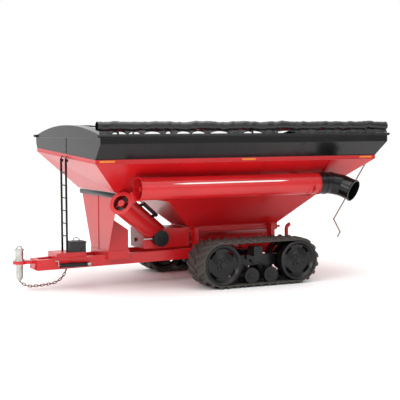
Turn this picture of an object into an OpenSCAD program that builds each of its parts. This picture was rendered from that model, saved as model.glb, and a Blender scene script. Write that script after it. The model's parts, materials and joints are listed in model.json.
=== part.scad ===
// Grain cart on rubber tracks with a folding corner auger.
// X runs from the hitch (negative) to the rear, -Y is the auger side, Z is up from the ground.

/* [Hopper] */
// Length of the hopper over its rim
hopper_l = 7290; // [6000:10:9000]
// Width of the hopper over its rim
hopper_w = 4540; // [3800:10:5600]
// Height of the rim above the ground
rim_z = 3440; // [3300:10:4200]
// Height of the upright strip below the rim
strip_h = 140; // [80:10:200]
// Drop from the rim to the lip on the auger side
lip_drop_near = 470; // [300:10:620]
// Drop from the rim to the lip on the other side
lip_drop_far = 260; // [200:10:620]
// Depth of the upright red lip
lip_h = 90; // [60:5:140]
// Height of the knee where the flare meets the funnel
knee_z = 2215; // [2200:5:2250]
// Height of the shelf over the auger
shelf_z = 1950; // [1850:5:2000]
// Height of the funnel's bottom edge
floor_z = 1300; // [1290:5:1340]
// Sheet thickness of the hopper walls
sheet = 12; // [8:1:20]

/* [Auger] */
// Outer radius of both auger tubes
tube_r = 250; // [200:5:255]
// Wall of the auger tubes
tube_wall = 8; // [5:1:14]
// Radius of the tube flanges
flange_r = 270; // [262:1:272]
// Length of the folding tube
upper_l = 4660; // [3800:10:5000]
// Clearance of the flighting inside the tube
flight_gap = 14; // [8:1:30]
// Pitch of the flighting
flight_pitch = 420; // [300:10:600]
// Angle that the discharge spout is bent away from the tube
spout_bend = 62; // [45:1:75]

/* [Frame] */
// Height of the tongue rails
rail_h = 240; // [180:5:280]
// Width of the tongue rails
rail_w = 130; // [100:5:160]
// Side of the square axle beam
axle_beam = 300; // [240:5:330]
// Radius of the hitch pin
pin_r = 78; // [50:1:90]

/* [Tracks] */
// Distance between the track wheels
wheel_base = 1970; // [1700:10:2200]
// Distance from the centreline to the middle of a track
track_y = 1605; // [1500:5:1750]
// Width of a track belt
belt_w = 860; // [600:10:900]
// Radius of the belt's outside over a wheel, lugs included
belt_r = 545; // [500:5:600]
// Thickness of the belt, lugs included
belt_t = 80; // [60:2:100]
// Radius of the rollers between the wheels
roller_r = 180; // [120:5:200]

/* [Hidden] */
$fn = 48;

eps = 0.3;            // seat between two pieces
run = 0.06;           // radial running clearance of a shaft
big = 20000;          // longer than the cart
ahead = 350;          // hopper's middle lies this far ahead of the axle
overhang = 60;        // rails and tarp stand past the hopper's ends
hitch_x = -5270;      // front of the hitch plate, measured from the axle
rear_x = -ahead + hopper_l / 2;
front_x = -ahead - hopper_l / 2;
axle_x = -(hitch_x + rear_x + overhang) / 2;

// Hopper corners, one row per level: front x, rear x, near y, far y, near z, far z, inset of the front sheet
half_w = hopper_w / 2;
wall_lean = 0.94;     // inward run of the near wall for each unit of drop
far_lean = 0.66;      // the same for the far wall
lip_near = half_w - wall_lean * (lip_drop_near - strip_h);
lip_far = half_w - far_lean * (lip_drop_far - strip_h);
lip_near_z = rim_z - lip_drop_near;
lip_far_z = rim_z - lip_drop_far;
lip_rear = rear_x - 130;
knee_y = 1205;
floor_y = 500;
knee_front = front_x + 720;
knee_rear = rear_x - 960;
shelf_front = knee_front + 1400;
floor_front = -1140;
floor_rear = 1280;
sump_h = 120;
sump_z = floor_z - sump_h;
shelf_f = (shelf_z - floor_z) / (knee_z - floor_z);
shelf_y = floor_y + (knee_y - floor_y) * shelf_f;
shelf_rear = floor_rear + (knee_rear - floor_rear) * shelf_f;
flat_inset = 4;       // a nearly flat sheet is set in further, to keep its thickness
levels = [
    [front_x, rear_x, half_w, half_w, rim_z, rim_z, 1],
    [front_x, rear_x, half_w, half_w, rim_z - strip_h, rim_z - strip_h, 1],
    [front_x, lip_rear, lip_near, lip_far, lip_near_z, lip_far_z, 1],
    [front_x, lip_rear, lip_near, lip_far, lip_near_z - lip_h, lip_far_z - lip_h, 1],
    [knee_front, knee_rear, knee_y, knee_y, knee_z, knee_z, flat_inset],
    [shelf_front, shelf_rear, shelf_y, shelf_y, shelf_z, shelf_z, flat_inset],
    [floor_front, floor_rear, floor_y, floor_y, floor_z, floor_z, 1],
    [floor_front, floor_rear, floor_y, floor_y, sump_z, sump_z, 1]];

// Tarp bows: an arc over the hopper
bow_r = 16;
rail_r = 30;
rail_z = rim_z + eps + rail_r;
rail_y = half_w - 12;
bow_y = rail_y - rail_r - eps;
cap_rise = 230;
bow_lift = 70;        // the bows stand on posts this high, and are flatter than the caps
bow_rise = cap_rise - bow_lift;
bow_count = 7;
roll_r = 110;
roll_y = half_w - 120;
roll_arc = arc_r(bow_rise) + bow_r + roll_r + eps;
roll_z = arc_z(rail_z + bow_lift, bow_rise) + sqrt(roll_arc * roll_arc - roll_y * roll_y);

// Augers
shaft_r = 45;
auger_z = sump_z - 170;
trough_r = 160;
trough_wall = 8;
gate_h = 30;
gate_t = 12;
gate_front = -800;
gate_rear = 950;
trough_top = sump_z - gate_h;
boot_front = -2300;
boot_near = 520;
boot_far = 300;
boot_top = floor_z - 10;
boot_low = auger_z - trough_r - 10;
boot_wall = 10;
door_w = 300;
door_l = 500;
door_x = -1950;
door_t = 10;
flange_t = 25;
knuckle_r = 45;
hinge_r = flange_r + knuckle_r + 5;
hinge_pin_r = 18;
knuckle_l = 120;
up = [-2970, -1815, 2315];
x_dir = [1, 0, 0];
lower_dir = unit([-0.686, -0.588, 0.43]);
hinge_dir = unit(cross(x_dir, lower_dir));
up_side = cross(x_dir, hinge_dir);
low_side = cross(lower_dir, hinge_dir);
hinge = up + hinge_r * up_side;
low = hinge - hinge_r * low_side;
lower_l = 1900;
stub = 0.5;           // half the gap between the closed flanges
cylinder_off = 365;
barrel_r = 45;
rod_r = 22;
barrel_from = 420;
barrel_to = 1150;
rod_from = 180;
rod_to = 1000;
spout_roll = 25;
spout_in = 100;
spout_collar = 390;
spout_mid = 280;
spout_arm = 330;
spout_wall = 6;
collar_r = tube_r + eps + spout_wall;
gear_x = -1920;
gear_y = boot_near + 120;
gear_z = 1075;
input_y = 50 - gear_y;
input_r = 22;
input_l = 260;

// Frame
tongue_x = -4700;
tongue_y = 200;
tongue_z = 575;
rail_end = -axle_beam / 2;
rail_yaw = 0.1167;    // sideways run of a rail for each unit of length
rail_rise = 0.0319;   // rise of a rail for each unit of length
axle_z = 620;
rear_rail_y = 660;
rear_rail_x = 1560;
nose_l = 90;
hitch_z = 640;
hitch_eye = -5120;
hitch_eye_r = 150;
hitch_t = 70;
pin_low = 300;
tip_r = 30;
tip_low = 225;
deck_z = 830;
deck_t = 12;
deck_x = [-4350, -3640];
deck_y = 320;
ladder_x = -4050;
ladder_y = 175;
rung_z = 1190;
rung_step = 290;
rung_count = 6;
ladder_top = 2960;
stile_t = 12;
stile_w = 50;
box_at = [-4000, -300, deck_z];
box_size = [360, 320, 220];
box_wall = 4;
lid_h = 40;
bulk_x = -3200;
bulk_t = 12;
bulk_low = 840;
bulk_bottom_y = 570;
bulk_top_y = 1190;
post_y = 75;
jack_x = -4010;
jack_y = 500;
jack_z = 575;
jack_r = 50;
leg_r = 40;
jack_l = 640;
swivel_r = 30;
mount_y = 365;

// Safety chain
link_r = 9;
link_l = 74;          // inner length of a link
link_w = 22;          // half the distance between the two straight wires
link_step = link_l - 2 * eps;
links = 17;
eye_r = 17;
eye_wire = 6;
chain_eye = [hitch_eye, 0, tip_low - eye_r + 3];
link_end = link_l / 2 + eye_r - eye_wire - eps;

// Tracks
spindle_r = 70;
hub_r = 140;
axle_r = 45;
wheel_r = belt_r - belt_t - 3 * eps;
wheel_x = wheel_base / 2;
wheel_z = belt_r;
disc_in = 190;
disc_out = belt_w / 2 - 15;
roller_x = 250;
roller_z = belt_t + eps + roller_r;
roller_axle = 35;
beam_y = 90;

red = "firebrick";
black = "#202022";
steel = "silver";
rubber = "#35332f";

function unit(v) = v / norm(v);

// Radius of an arc across the hopper, and the height of its centre
function arc_r(rise) = (bow_y * bow_y + rise * rise) / (2 * rise);
function arc_z(end_z, rise) = end_z + rise - arc_r(rise);

// Corner c of level n, set in from the outside by t
function corner(n, c, t) = let (l = levels[n], f = l[6])
    c == 0 ? [l[0] + f * t, -l[2] + t, l[4]] :
    c == 1 ? [l[1] - t, -l[2] + t, l[4]] :
    c == 2 ? [l[1] - t, l[3] - t, l[5]] : [l[0] + f * t, l[3] - t, l[5]];

// Middle of a tongue rail at length x from the axle
function rail_mid(x) = [x, tongue_y + rail_yaw * (x - tongue_x), tongue_z + rail_rise * (x - tongue_x)];

// Carries children from the axle's frame into the part's frame
module at_axle() { translate([axle_x, 0, 0]) children(); }

// Children drawn once on each side of the cart
module both() {
    children();
    mirror([0, 1, 0]) children();
}

// A frame with its origin at p and its axes along x, y and z
module framed(p, x, y, z) {
    multmatrix([[x[0], y[0], z[0], p[0]], [x[1], y[1], z[1], p[1]],
        [x[2], y[2], z[2], p[2]], [0, 0, 0, 1]]) children();
}

// Local frame of the lower tube's flange: z out of the flange, x towards the hinge
module at_low() { framed(low, low_side, hinge_dir, lower_dir) children(); }

// Local frame of the folding tube's flange: z out of the flange, x towards the hinge
module at_up() { framed(up, up_side, hinge_dir, -x_dir) children(); }

// A block between two opposite corners
module block(a, b) { translate(a) cube(b - a); }

// A rod along X, Y or Z
module rod_x(p, r, l) { translate(p) rotate([0, 90, 0]) cylinder(r = r, h = l); }
module rod_y(p, r, l) { translate(p) rotate([-90, 0, 0]) cylinder(r = r, h = l); }
module rod_z(p, r, l) { translate(p) cylinder(r = r, h = l); }

module pipe(r, wall, l) {
    difference() {
        cylinder(r = r, h = l, $fn = 96);
        translate([0, 0, -1]) cylinder(r = r - wall, h = l + 2, $fn = 96);
    }
}

// One flat panel of side c between level n and the next one down
module panel(n, c) {
    d = (c + 1) % 4;
    polyhedron([corner(n, c, 0), corner(n, d, 0), corner(n, d, sheet), corner(n, c, sheet),
        corner(n + 1, c, 0), corner(n + 1, d, 0), corner(n + 1, d, sheet), corner(n + 1, c, sheet)],
        [[0, 1, 2], [0, 2, 3], [4, 6, 5], [4, 7, 6], [0, 4, 5], [0, 5, 1],
        [1, 5, 6], [1, 6, 2], [3, 2, 6], [3, 6, 7], [0, 3, 7], [0, 7, 4]]);
}

module hopper_side(c) { color(red) for (n = [2:6]) panel(n, c); }
module hopper_near_side() { hopper_side(0); }
module hopper_rear() { hopper_side(1); }
module hopper_far_side() { hopper_side(2); }
module hopper_front() { hopper_side(3); }

module extension_side(c) { color(black) for (n = [0:1]) panel(n, c); }
module extension_near() { extension_side(0); }
module extension_rear() { extension_side(1); }
module extension_far() { extension_side(2); }
module extension_front() { extension_side(3); }

// Arc over the hopper in the YZ plane, with its middle rising from end_z, from depth under to over
module arch(end_z, rise, under, over) {
    intersection() {
        translate([0, arc_z(end_z, rise)]) difference() {
            circle(r = arc_r(rise) + over, $fn = 1440);
            circle(r = arc_r(rise) + under, $fn = 1440);
        }
        translate([-bow_y, rim_z + eps]) square([2 * bow_y, 2 * cap_rise]);
    }
}

// Arched end plate with a hood over it
module end_cap(x, toward) {
    cap_t = 8;
    hood = 260;
    translate([toward > 0 ? x : x - cap_t, 0, 0]) rotate([90, 0, 90]) linear_extrude(cap_t)
        intersection() {
            translate([0, arc_z(rail_z, cap_rise)]) circle(r = arc_r(cap_rise) + bow_r, $fn = 1440);
            translate([-bow_y, rim_z + eps]) square([2 * bow_y, 2 * cap_rise]);
        }
    translate([toward > 0 ? x : x - hood, 0, 0]) rotate([90, 0, 90]) linear_extrude(hood)
        arch(rail_z, cap_rise, bow_r - cap_t, bow_r);
}
module end_caps() {
    color(black) {
        end_cap(front_x, 1);
        end_cap(rear_x, -1);
    }
}

// Rails along the rim, and the bows between them
module tarp_bows() {
    span = hopper_l - 2 * 420;
    color(black) {
        both() rod_x([front_x - overhang, -rail_y, rail_z], rail_r, hopper_l + 2 * overhang);
        for (i = [0:bow_count - 1])
            translate([front_x + 420 - bow_r + i * span / (bow_count - 1), 0, 0])
                rotate([90, 0, 90]) linear_extrude(2 * bow_r) {
                    arch(rail_z + bow_lift, bow_rise, -bow_r, bow_r);
                    for (y = [-bow_y, bow_y - 2 * bow_r])
                        translate([y, rim_z + eps]) square([2 * bow_r, rail_r + bow_lift]);
                }
    }
}

module tarp_roll() {
    color(black) rod_x([front_x - overhang / 2, -roll_y, roll_z], roll_r, hopper_l + overhang);
}

// Crank of the tarp, hung from the rear end of the roll
module tarp_crank() {
    top = [rear_x + overhang + 4, -roll_y, roll_z - 25];
    foot = [rear_x - 78, -93, 1265];
    grip = foot + [0, -298, -305];
    hand = grip + [0, 110, -136];
    crank_r = 22;
    ball_r = crank_r + 4;
    color(steel) {
        rod_x([rear_x + overhang / 2 + eps, -roll_y, roll_z], 30, 40);
        rod_z([top[0] + 2, top[1], top[2] - 8], 16, 30);
        stick(top + [2, 0, 0], foot, crank_r);
        stick(foot, grip, crank_r);
        stick(grip, hand, crank_r + 3);
        for (p = [foot, grip]) translate(p) sphere(r = ball_r);
    }
}

// A round stick between two points
module stick(a, b, r) {
    d = b - a;
    translate(a) rotate([0, acos(d[2] / norm(d)), atan2(d[1], d[0])]) cylinder(r = r, h = norm(d));
}

// Trough under the sump, with the gate's frame on top
module auger_trough() {
    l = floor_rear - floor_front;
    color(red) {
        translate([floor_front, 0, 0]) rotate([90, 0, 90]) linear_extrude(l) difference() {
            union() {
                polygon([[-floor_y, trough_top], [floor_y, trough_top], [trough_r, auger_z],
                    [-trough_r, auger_z]]);
                translate([0, auger_z]) circle(r = trough_r, $fn = 96);
            }
            polygon([[-floor_y + 14, trough_top + 1], [floor_y - 14, trough_top + 1],
                [trough_r - trough_wall, auger_z], [-trough_r + trough_wall, auger_z]]);
            translate([0, auger_z]) circle(r = trough_r - trough_wall, $fn = 96);
            translate([-floor_y, trough_top]) square([2 * floor_y, trough_r]);
        }
        difference() {
            block([floor_front, -floor_y, trough_top], [floor_rear, floor_y, sump_z - eps]);
            block([floor_front + sheet, -floor_y + sheet, trough_top - 1],
                [floor_rear - sheet, floor_y - sheet, sump_z + 1]);
            block([gate_front - 1, 0, trough_top + 8 - eps],
                [gate_rear + 1, floor_y + 1, trough_top + 8 + gate_t + eps]);
        }
        difference() {
            intersection() {
                block([floor_rear, -floor_y, auger_z - trough_r], [floor_rear + 10, floor_y, sump_z - eps]);
                translate([floor_rear, 0, 0]) rotate([90, 0, 90]) linear_extrude(10) union() {
                    translate([-floor_y, trough_top]) square([2 * floor_y, gate_h]);
                    polygon([[-floor_y, trough_top], [floor_y, trough_top], [trough_r, auger_z],
                        [-trough_r, auger_z]]);
                    translate([0, auger_z]) circle(r = trough_r, $fn = 96);
                }
            }
            rod_x([floor_rear - 1, 0, auger_z], shaft_r + run, 12);
        }
    }
}

module flow_gate() {
    z = trough_top + 8;
    color(steel) {
        block([gate_front, -floor_y + sheet + 2, z], [gate_rear, floor_y + 60, z + gate_t]);
        block([(gate_front + gate_rear) / 2 - 90, floor_y + 60, z - 14],
            [(gate_front + gate_rear) / 2 + 90, floor_y + 76, z + gate_t + 14]);
    }
}

// Outer block of the boot that joins the trough to the lower tube
module boot_block(grow = 0) {
    block([boot_front - grow, -boot_near - grow, boot_low - grow],
        [floor_front - eps + grow, boot_far + grow, boot_top + grow]);
}

module auger_boot() {
    w = boot_wall;
    color(red) difference() {
        boot_block();
        block([boot_front + w, -boot_near + w, boot_low + w],
            [floor_front - eps - w, boot_far - w, boot_top - w]);
        at_low() translate([0, 0, -lower_l - 500]) cylinder(r = tube_r - tube_wall, h = lower_l + 500, $fn = 96);
        rod_x([floor_front - 2 * w, 0, auger_z], trough_r - trough_wall, 3 * w);
        rod_x([boot_front - 1, 0, auger_z], shaft_r + run, w + 2);
        block([door_x, -door_w / 2, boot_low - 1], [door_x + door_l, door_w / 2, boot_low + w + 1]);
    }
}

module cleanout_door() {
    z = boot_low - eps - door_t;
    hinge_z = z + 4;
    color(red) {
        block([door_x - 25, -door_w / 2 - 15, z], [door_x + door_l + 25, door_w / 2 + 25, z + door_t]);
        rod_x([door_x + 40, -door_w / 2 - 16, hinge_z], 5, door_l - 80);
        block([door_x + door_l / 2 - 60, door_w / 2 + 5, z - 30], [door_x + door_l / 2 + 60, door_w / 2 + 17, z + 1]);
    }
}

// Helical flight round the Z axis, from z = 0 to length l
module flight(r0, r1, l, pitch, t = 8, n = 20) {
    steps = floor(l / pitch * n);
    pts = [for (k = [0:steps]) let (a = k * 360 / n, z = t / 2 + k * (l - t) / steps)
        for (q = [[r0, -t / 2], [r1, -t / 2], [r1, t / 2], [r0, t / 2]])
            [q[0] * cos(a), q[0] * sin(a), z + q[1]]];
    walls = [for (k = [0:steps - 1], j = [0:3]) let (m = (j + 1) % 4)
        for (f = [[4 * k + j, 4 * k + 4 + j, 4 * k + m], [4 * k + m, 4 * k + 4 + j, 4 * k + 4 + m]]) f];
    polyhedron(pts, concat(walls, [[0, 1, 2], [0, 2, 3],
        [4 * steps + 2, 4 * steps + 1, 4 * steps], [4 * steps + 3, 4 * steps + 2, 4 * steps]]));
}

flight_r = tube_r - tube_wall - flight_gap;

module floor_auger_shaft() {
    color(steel) rod_x([boot_front - 40, 0, auger_z], shaft_r, floor_rear + 60 - boot_front);
}
module floor_auger_flight() {
    color(steel) translate([floor_front + 40, 0, auger_z]) rotate([0, 90, 0])
        flight(shaft_r + 1, trough_r - trough_wall - flight_gap, floor_rear - floor_front - 80, flight_pitch * 0.8);
}

// Knuckles of the tube hinge, bored for the pin
module knuckle(from, l, bore) {
    translate([hinge_r, from, 0]) rotate([-90, 0, 0]) difference() {
        cylinder(r = knuckle_r, h = l);
        translate([0, 0, -1]) cylinder(r = bore, h = l + 2);
    }
}

// Bearing on a bar across a tube, at height z
module bearing(z) {
    difference() {
        translate([0, 0, z]) union() {
            cylinder(r = shaft_r + 16, h = 30);
            translate([-tube_r + 3, -7, 0]) cube([2 * tube_r - 6, 14, 30]);
        }
        translate([0, 0, z - 1]) cylinder(r = shaft_r + run, h = 32);
    }
}

module lower_tube() {
    w = knuckle_l / 2;
    color(red) difference() {
        union() {
            at_low() translate([0, 0, -lower_l]) pipe(tube_r, tube_wall, lower_l - stub);
            at_low() translate([0, 0, -stub - flange_t]) pipe(flange_r, flange_r - tube_r + 2, flange_t);
            at_low() for (s = [-1, 1])
                translate([tube_r - 5, s > 0 ? w + 1 : -w - 1 - w, -stub - flange_t])
                    cube([hinge_r - tube_r - knuckle_r / 2, w, flange_t]);
            at_low() {
                bearing(-100);
                knuckle(w + 1, w, hinge_pin_r + run);
                knuckle(-w - 1 - w, w, hinge_pin_r + run);
            }
        }
        boot_block(eps);
    }
}
module lower_auger_shaft() {
    color(red) at_low() {
        translate([0, 0, -lower_l + 120]) cylinder(r = shaft_r, h = lower_l - 120 - 30);
        translate([0, 0, -30]) cylinder(r = shaft_r * 1.9, h = 18, $fn = 6);
    }
}
module lower_auger_flight() {
    color(steel) at_low() translate([0, 0, -lower_l + 140])
        flight(shaft_r + 1, flight_r, lower_l - 260, flight_pitch);
}

module upper_tube() {
    w = knuckle_l / 2;
    color(red) at_up() {
        translate([0, 0, -upper_l]) pipe(tube_r, tube_wall, upper_l - stub);
        translate([0, 0, -stub - flange_t]) pipe(flange_r, flange_r - tube_r + 2, flange_t);
        translate([0, 0, -upper_l + spout_in + 2]) pipe(tube_r + 14, 16, 20);
        translate([tube_r - 5, -w, -stub - flange_t]) cube([hinge_r - tube_r - knuckle_r / 2, 2 * w, flange_t]);
        knuckle(-w, 2 * w, hinge_pin_r + run);
        bearing(-110);
        bearing(-upper_l + 110);
    }
}
module upper_auger_shaft() {
    color(red) at_up() translate([0, 0, -upper_l + 60]) cylinder(r = shaft_r, h = upper_l - 100);
}
module upper_auger_flight() {
    color(steel) at_up() translate([0, 0, -upper_l + 200])
        flight(shaft_r + 1, flight_r, upper_l - 340, flight_pitch);
}
module hinge_pin() {
    color(steel) framed(hinge, up_side, hinge_dir, -x_dir) {
        rotate([-90, 0, 0]) translate([0, 0, -knuckle_l - 12]) cylinder(r = hinge_pin_r, h = 2 * knuckle_l + 24);
        for (s = [-1, 1]) rotate([-90, 0, 0])
            translate([0, 0, s > 0 ? knuckle_l + 1 + eps : -knuckle_l - 13 - eps])
                cylinder(r = hinge_pin_r + 9, h = 12, $fn = 6);
    }
}

// Fold cylinder beside the lower tube
module fold_cylinder() {
    color(black) at_low() difference() {
        union() {
            translate([cylinder_off, 0, -barrel_to]) cylinder(r = barrel_r, h = barrel_to - barrel_from);
            translate([tube_r - 20, -25, -barrel_to]) cube([cylinder_off - tube_r + 20, 50, 60]);
            translate([tube_r - 20, -25, -barrel_from - 60]) cube([cylinder_off - tube_r + 20, 50, 60]);
        }
        translate([0, 0, -big / 2]) cylinder(r = tube_r + eps, h = big, $fn = 96);
        translate([cylinder_off, 0, -barrel_to + 25]) cylinder(r = rod_r + run, h = barrel_to);
    }
}
module fold_rod() {
    color(steel) at_low() {
        translate([cylinder_off, 0, -rod_to]) cylinder(r = rod_r, h = rod_to - rod_from - 20);
        translate([cylinder_off, -30, -rod_from]) rotate([-90, 0, 0]) difference() {
            cylinder(r = 40, h = 60);
            translate([0, 0, -1]) cylinder(r = 18, h = 62);
        }
    }
}

// One straight stretch of the spout, mitred at both ends: turn is its own direction
module spout_piece(at, turn, l, start, end, r) {
    half = big / 2;
    difference() {
        translate(at) rotate([0, turn, 0]) translate([0, 0, -r]) cylinder(r = r, h = l + 2 * r, $fn = 96);
        translate(at) rotate([0, start, 0]) translate([-half, -half, -big + eps / 2]) cube(big);
        translate(at + l * [sin(turn), 0, cos(turn)]) rotate([0, end, 0])
            translate([-half, -half, -eps / 2]) cube(big);
        translate(at) rotate([0, turn, 0]) translate([0, 0, -2 * r]) cylinder(r = r - spout_wall, h = l + 4 * r, $fn = 96);
    }
}

// Bent discharge spout on the end of the folding tube, in three mitred pieces
module spout() {
    b = spout_bend / 2;
    p1 = [0, 0, spout_collar - spout_in];
    p2 = p1 + spout_mid * [sin(b), 0, cos(b)];
    color(black) at_up() rotate([180, 0, 0]) rotate([0, 0, spout_turn]) translate([0, 0, upper_l]) {
        spout_piece([0, 0, -spout_in], 0, spout_collar, 0, b / 2, collar_r);
        spout_piece(p1, b, spout_mid, b / 2, 3 * b / 2, collar_r);
        spout_piece(p2, 2 * b, spout_arm, 3 * b / 2, 2 * b, collar_r);
        for (z = [-spout_in, spout_in - 24]) translate([0, 0, z]) difference() {
            cylinder(r = collar_r + 10, h = 24, $fn = 96);
            translate([0, 0, -1]) cylinder(r = collar_r + eps, h = 26, $fn = 96);
        }
    }
}
// Turn about the tube that points the bend outwards and a little down
spout_dir = [0, -cos(spout_roll), -sin(spout_roll)];
spout_turn = atan2(-spout_dir * hinge_dir, spout_dir * up_side);

// Saddle that carries the folded tube
module auger_rest() {
    x = up[0] + upper_l - 300;
    t = 14;
    wall_at = (knee_y - shelf_y) / (knee_z - shelf_z);
    z0 = shelf_z + 60;
    color(red) difference() {
        translate([x, 0, 0]) rotate([90, 0, 90]) linear_extrude(t)
            polygon([[-knee_y - 1, knee_z - 1], [-knee_y + wall_at * (knee_z - z0) - 1, z0],
                [up[1], z0 + 20], [up[1] - tube_r - 30, up[2] - 140], [up[1] - tube_r - 30, up[2] - 40],
                [up[1] + tube_r + 20, up[2] - 40]]);
        rod_x([x - 1, up[1], up[2]], tube_r + eps, t + 2);
    }
}

// Gearbox on the near side of the boot
module gearbox() {
    color(black) difference() {
        union() {
            block([gear_x - 150, -gear_y, gear_z - 130], [gear_x + 150, -boot_near - eps, gear_z + 120]);
            rod_y([gear_x, -gear_y - 28, gear_z], 190, 28);
            rod_y([gear_x, -gear_y - 46, gear_z], 70, 18);
            for (a = [30:60:330])
                rod_y([gear_x + 160 * cos(a), -gear_y - 36, gear_z + 160 * sin(a)], 11, 8);
            rod_x([gear_x - 200, input_y, gear_z], 55, 60);
        }
        rod_x([gear_x - 201, input_y, gear_z], input_r + run, 41);
        at_low() translate([0, 0, -lower_l]) cylinder(r = tube_r + eps, h = lower_l, $fn = 96);
    }
}
module input_shaft() {
    color(steel) rod_x([gear_x - 160 - eps - input_l, input_y, gear_z], input_r, input_l);
}

// A tongue rail as a bar on the near side, longer than the rail and grown all round
module rail_bar(grow = 0) {
    l = norm([1, rail_yaw, rail_rise]) * (rail_end - tongue_x);
    translate([tongue_x, -tongue_y, tongue_z])
        rotate([0, -atan2(rail_rise, norm([1, rail_yaw])), -atan(rail_yaw)])
            translate([-40, -rail_w / 2 - grow, -rail_h / 2 - grow])
                cube([l + 80, rail_w + 2 * grow, rail_h + 2 * grow]);
}
module tongue_rails() {
    color(red) both() difference() {
        union() {
            rail_bar();
            difference() {
                block([jack_x - 90, -mount_y, jack_z - 80], [jack_x + 90, -mount_y + 80, jack_z + 80]);
                rail_bar(-2);
            }
        }
        translate([rail_end - eps, -big / 2, -big / 2]) cube(big);
        translate([tongue_x - big, -big / 2, -big / 2]) cube(big);
    }
    color(steel) rod_y([jack_x, -jack_y + jack_r - 4, jack_z], swivel_r, jack_y - mount_y - jack_r + 4);
}

module crossmembers() {
    nose_y = tongue_y + rail_w / 2;
    color(red) {
        block([tongue_x - nose_l, -nose_y, tongue_z - rail_h / 2], [tongue_x - eps, nose_y, tongue_z + rail_h / 2]);
        difference() {
            block([bulk_x - 10, -bulk_bottom_y - 15, rail_mid(bulk_x)[2] + 20],
                [bulk_x + 510, bulk_bottom_y + 15, bulk_low - eps]);
            both() rail_bar(eps);
        }
        for (x = [-3650, -2590]) difference() {
            block([x - 60, -520, rail_mid(x)[2] - 50], [x + 60, 520, rail_mid(x)[2] + 50]);
            both() rail_bar(eps);
            both() translate([-big / 2, -big - rail_mid(x)[1], -big / 2]) cube(big);
        }
        difference() {
            block([chain_end[0] - 70, -260, tongue_z - 90], [chain_end[0] + 30, 260, tongue_z - 70]);
            both() rail_bar(eps);
        }
        block([chain_end[0] - 20, -6, chain_end[2] + eye_r - 3], [chain_end[0] + 20, 6, tongue_z - 80]);
        eye(chain_end);
        both() block([-rail_end + eps, -rear_rail_y - rail_w / 2, axle_z - 20],
            [rear_rail_x, -rear_rail_y + rail_w / 2, axle_z - 20 + rail_h]);
        block([rear_rail_x - 130, -rear_rail_y + rail_w / 2, axle_z], [rear_rail_x - 10,
            rear_rail_y - rail_w / 2, axle_z + 140]);
    }
}

// Front support under the hopper, notched round the auger
module bulkhead() {
    top_z = knee_z + (shelf_z - knee_z) * (bulk_x + 200 - knee_front) / (shelf_front - knee_front) - 4;
    edge_y = function (z) bulk_bottom_y + (bulk_top_y - bulk_bottom_y) * (z - bulk_low) / (top_z - bulk_low);
    gusset_z = 1640;
    color(red) difference() {
        union() {
            both() translate([bulk_x, 0, 0]) rotate([90, 0, 90]) linear_extrude(bulk_t)
                polygon([[-bulk_bottom_y, bulk_low], [-post_y, bulk_low], [-post_y, top_z],
                    [-edge_y(top_z), top_z]]);
            block([bulk_x + bulk_t, -post_y - bulk_t, bulk_low], [bulk_x + 150, post_y + bulk_t, top_z]);
            both() translate([0, -bulk_bottom_y + bulk_t, 0]) rotate([90, 0, 0]) linear_extrude(bulk_t)
                polygon([[bulk_x + bulk_t, bulk_low], [bulk_x + 490, bulk_low], [bulk_x + 490, gusset_z - 330],
                    [bulk_x + bulk_t, gusset_z]]);
            both() translate([bulk_x, -bulk_bottom_y, bulk_low]) cube([490, 90, bulk_t]);
        }
        at_low() translate([0, 0, -big / 2]) cylinder(r = flange_r + 15, h = big, $fn = 96);
    }
}

// Square beam across the cart with a spindle for each track
module axle_tube() {
    reach = track_y - belt_w / 2 - 60;
    a = axle_beam / 2;
    color(red) block([-a, -reach, axle_z - a], [a, reach, axle_z + a]);
    color(steel) both() {
        rod_y([0, -track_y - 150, axle_z], spindle_r, track_y + 150 - reach);
        rod_y([0, -reach - 16, axle_z], spindle_r + 40, 16);
    }
}

// Posts between the frame and the sump, and the bent rear struts
module hopper_legs() {
    strut_x = 1480;
    strut_r = 48;
    strut_z = axle_z - 20 + rail_h;
    bend_r = 110;
    color(red) {
        both() difference() {
            block([-1060, -680, 700], [-960, -floor_y - eps, floor_z - 12]);
            rail_bar(eps);
        }
        both() block([1000, -rear_rail_y - 40, strut_z + eps], [1100, -floor_y - eps, floor_z - 12]);
        both() {
            rod_z([strut_x, -rear_rail_y + 40, strut_z + eps], strut_r, 300);
            translate([strut_x + bend_r, -rear_rail_y + 40, strut_z + 300 + eps]) rotate([90, 0, 0])
                rotate([0, 0, 100]) rotate_extrude(angle = 80) translate([bend_r, 0]) circle(r = strut_r);
        }
    }
}

module deck() {
    color(red) {
        block([deck_x[0], -deck_y, deck_z - deck_t], [deck_x[1], deck_y, deck_z]);
        both() difference() {
            block([deck_x[0] + 10, -deck_y + 5, tongue_z + rail_h / 2 - 10], [deck_x[1] - 10, -deck_y + 17, deck_z - deck_t]);
            rail_bar(eps);
        }
        for (x = [deck_x[0], deck_x[1] - 12]) difference() {
            block([x, -deck_y, tongue_z + rail_h / 2 - 10], [x + 12, deck_y, deck_z - deck_t]);
            both() rail_bar(eps);
        }
    }
}

// Ladder with hooked hand grips
module ladder() {
    hook_r = 60;
    color(black) {
        both() {
            block([ladder_x - stile_w / 2, -ladder_y, deck_z + eps],
                [ladder_x + stile_w / 2, -ladder_y + stile_t, ladder_top]);
            block([ladder_x + stile_w / 2 - 1, -ladder_y, lip_near_z - lip_h + 5],
                [front_x - eps, -ladder_y + stile_t, lip_near_z - 25]);
            translate([ladder_x + hook_r, -ladder_y + stile_t / 2, ladder_top - 5])
                rotate([90, 0, 0]) rotate([0, 0, 108]) rotate_extrude(angle = 72) translate([hook_r, 0]) circle(r = 12);
        }
        for (i = [0:rung_count - 1])
            rod_y([ladder_x, -ladder_y + 1, rung_z + i * rung_step], 15, 2 * ladder_y - 2);
    }
}

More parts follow.
